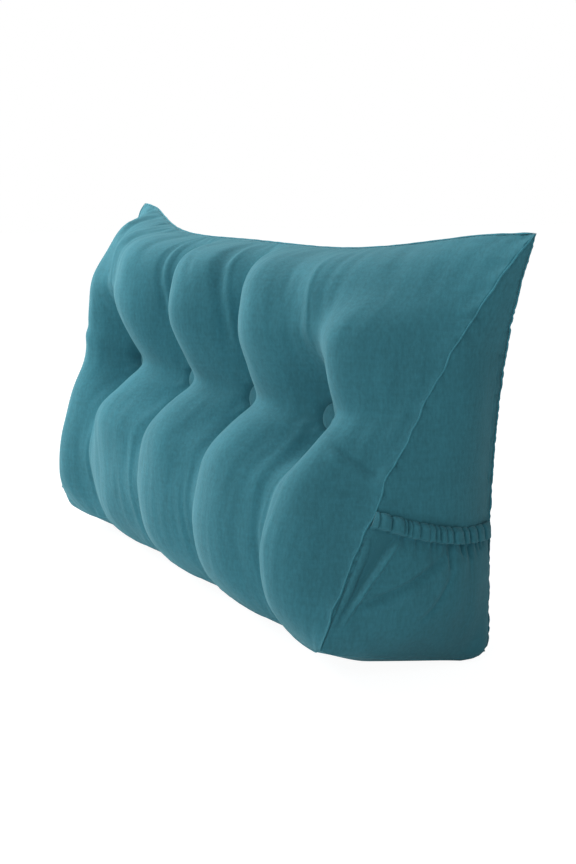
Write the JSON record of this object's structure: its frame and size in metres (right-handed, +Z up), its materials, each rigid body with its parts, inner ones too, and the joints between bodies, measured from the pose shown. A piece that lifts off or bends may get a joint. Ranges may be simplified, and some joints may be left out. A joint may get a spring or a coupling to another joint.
{
  "type": "wedge pillow",
  "caption": "Long wedge-shaped back cushion in teal pile cloth with a button-tufted, lobed front, pulled-out top corners and an open side pocket with a gathered mouth.",
  "frame": {"origin": "on the floor under the centre of the cushion's own box", "axes": "+X along the pillow towards the end with the pocket, +Y towards its back, -Y out of the tufted front, +Z up"},
  "size_m": [1.002, 0.2601, 0.488],
  "materials": {
    "cover_cloth": "short soft pile with a faint sheen",
    "pocket_cloth": "short soft pile with a faint sheen",
    "button_cloth": "short soft pile stretched over a button"
  },
  "bodies": {
    "root": {"wedge_cushion": "cover_cloth", "side_pocket": "pocket_cloth", "button_1": "button_cloth", "button_2": "button_cloth", "button_3": "button_cloth", "button_4": "button_cloth"}
  },
  "joints": []
}
